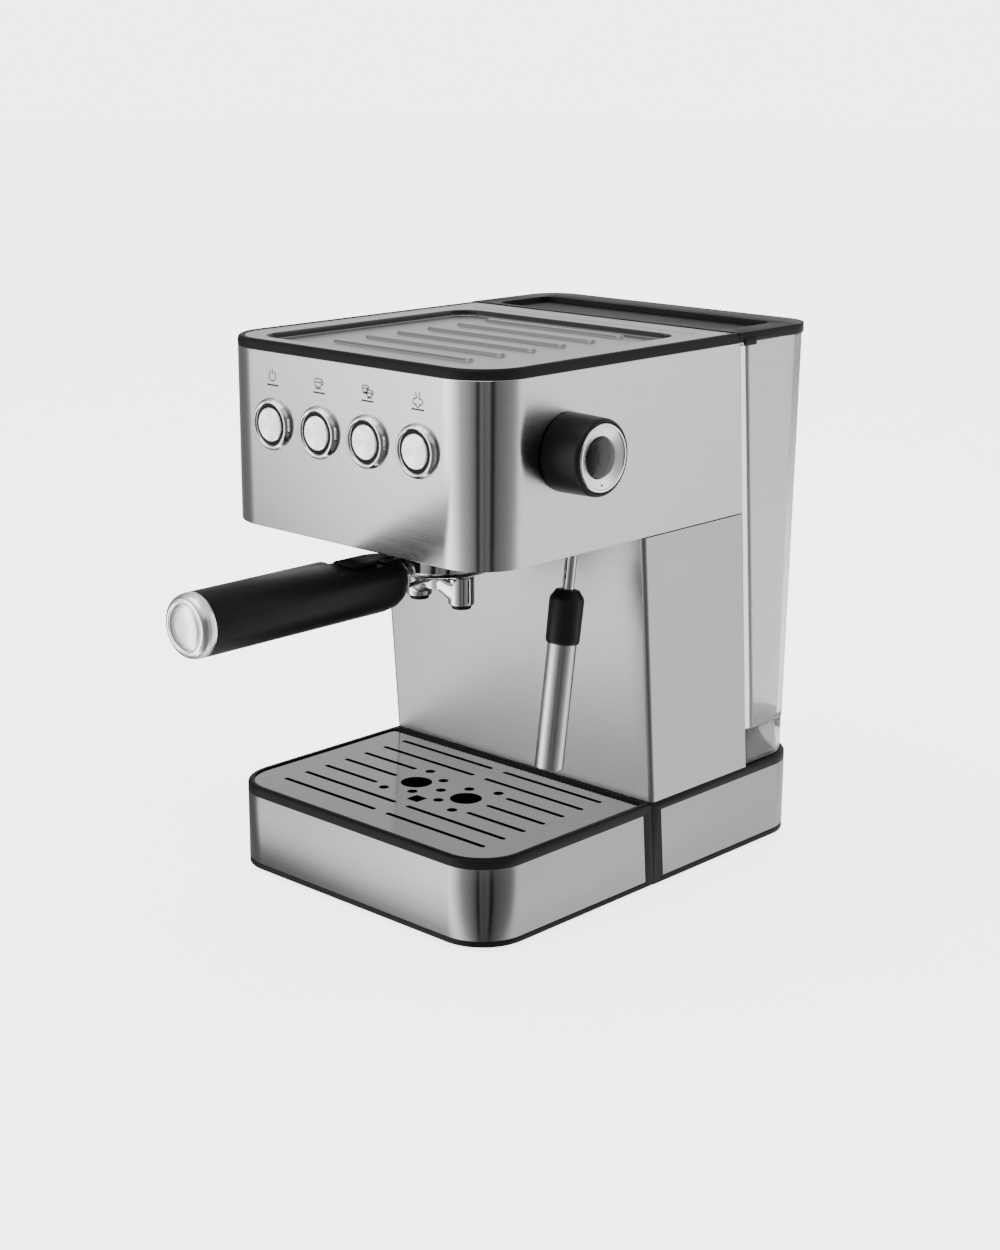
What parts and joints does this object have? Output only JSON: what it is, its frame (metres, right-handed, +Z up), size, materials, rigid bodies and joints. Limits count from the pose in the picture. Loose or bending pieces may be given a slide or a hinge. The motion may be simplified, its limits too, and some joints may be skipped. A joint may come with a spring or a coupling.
{
  "type": "espresso machine",
  "caption": "Pump espresso machine: steel head on a leaning column, push buttons, steam knob and wand, bayonet filter holder, pull-out drip tray and lift-out rear water tank with hinged lid.",
  "frame": {"origin": "on the worktop, in the plane of the feet, at the middle of the width, 138 mm behind the head's front face", "axes": "+Z up, +X to the machine's right as its user sees it, -Y towards the user"},
  "size_m": [0.2332, 0.3968, 0.3122],
  "materials": {
    "brushed_steel": "fine brushed, satin",
    "grid_steel": "semi-polished",
    "inner_steel": "plain sheet",
    "chrome": "polished",
    "satin_chrome": "spun satin",
    "black_plastic": "fine satin",
    "black_gloss": "soft gloss",
    "inner_plastic": "plain",
    "tank_plastic": "clear, lightly frosted",
    "tank_foot_plastic": "smoked",
    "rubber": "matt",
    "silicone": "matt",
    "cast_aluminium": "as cast",
    "valve_brass": "machined",
    "circuit_board": "lacquered"
  },
  "bodies": {
    "chassis": {"rubber_feet": "rubber", "base_plate": "inner_steel", "housing_screws": "inner_steel", "rear_band": "brushed_steel", "base_pan": "black_plastic", "cord_gland": "black_plastic", "column_panel": "brushed_steel", "back_wall": "black_plastic", "head_shell": "brushed_steel", "head_rim": "black_plastic", "head_floor": "black_plastic", "cup_plate": "brushed_steel", "button_bezels": "chrome", "control_board": "circuit_board", "board_bracket": "inner_steel", "steam_valve": "valve_brass", "group_head": "chrome", "group_gasket": "rubber", "shower_screen": "brushed_steel", "shower_screw": "brushed_steel", "group_bracket": "inner_steel", "boiler_body": "cast_aluminium", "boiler_cover": "cast_aluminium", "boiler_bolts": "inner_steel", "thermostats": "inner_plastic", "pump_body": "inner_plastic", "pump_coil": "inner_plastic", "pump_mounts": "rubber", "suction_tube": "silicone", "pressure_tube": "silicone", "steam_tubes": "silicone", "wand_socket": "black_plastic", "tank_socket": "silicone"},
    "power_key": {"power_button": "satin_chrome"},
    "one_cup_key": {"one_cup_button": "satin_chrome"},
    "two_cups_key": {"two_cups_button": "satin_chrome"},
    "steam_key": {"steam_button": "satin_chrome"},
    "steam_control": {"steam_knob": "black_plastic", "knob_ring": "satin_chrome", "knob_cap": "black_gloss", "valve_spindle": "valve_brass"},
    "steam_wand": {"steam_pipe": "chrome", "steam_tip": "chrome", "wand_grip": "black_plastic", "froth_sleeve": "brushed_steel"},
    "portafilter": {"filter_holder": "chrome", "filter_basket": "brushed_steel", "twin_spout": "chrome", "holder_handle": "black_plastic", "handle_ring": "chrome", "handle_end_cap": "satin_chrome", "handle_rod": "inner_steel"},
    "clip": {"basket_clip": "black_gloss"},
    "drip_tray": {"tray_tub": "black_plastic", "tray_band": "brushed_steel"},
    "drip_grid": {"drip_plate": "grid_steel"},
    "tank": {"water_tank": "tank_plastic", "tank_foot": "tank_foot_plastic", "tank_valve": "black_plastic"},
    "lid": {"tank_lid": "black_plastic"}
  },
  "joints": [
    {"name": "power_press", "type": "slide", "parent": "chassis", "child": "power_key", "axis": [0, 1, 0], "range_m": [0, 0.002], "stiffness_N_per_m": 400, "springref_m": -0.001},
    {"name": "one_cup_press", "type": "slide", "parent": "chassis", "child": "one_cup_key", "axis": [0, 1, 0], "range_m": [0, 0.002], "stiffness_N_per_m": 400, "springref_m": -0.001},
    {"name": "two_cups_press", "type": "slide", "parent": "chassis", "child": "two_cups_key", "axis": [0, 1, 0], "range_m": [0, 0.002], "stiffness_N_per_m": 400, "springref_m": -0.001},
    {"name": "steam_press", "type": "slide", "parent": "chassis", "child": "steam_key", "axis": [0, 1, 0], "range_m": [0, 0.002], "stiffness_N_per_m": 400, "springref_m": -0.001},
    {"name": "steam_knob_turn", "type": "hinge", "parent": "chassis", "child": "steam_control", "pos_m": [0.10325, -0.0773, 0.265], "axis": [1, 0, 0], "range_deg": [0, 270]},
    {"name": "steam_wand_swing", "type": "hinge", "parent": "chassis", "child": "steam_wand", "pos_m": [0.078, -0.0427, 0.206], "axis": [0, -1, 0], "range_deg": [0, 40]},
    {"name": "portafilter_turn", "type": "hinge", "parent": "chassis", "child": "portafilter", "pos_m": [0, -0.066, 0.2105], "axis": [0, 0, -1], "range_deg": [0, 45]},
    {"name": "basket_clip_slide", "type": "slide", "parent": "portafilter", "child": "clip", "axis": [0, -1, 0], "range_m": [0, 0.009]},
    {"name": "drip_tray_slide", "type": "slide", "parent": "chassis", "child": "drip_tray", "axis": [0, -1, 0], "range_m": [0, 0.16]},
    {"name": "drip_plate_lift", "type": "slide", "parent": "drip_tray", "child": "drip_grid", "axis": [0, 0, 1], "range_m": [0, 0.025]},
    {"name": "water_tank_lift", "type": "slide", "parent": "chassis", "child": "tank", "axis": [0, 0, 1], "range_m": [0, 0.25]},
    {"name": "tank_lid_turn", "type": "hinge", "parent": "tank", "child": "lid", "pos_m": [0, 0.1409, 0.3073], "axis": [-1, 0, 0], "range_deg": [0, 100]}
  ]
}
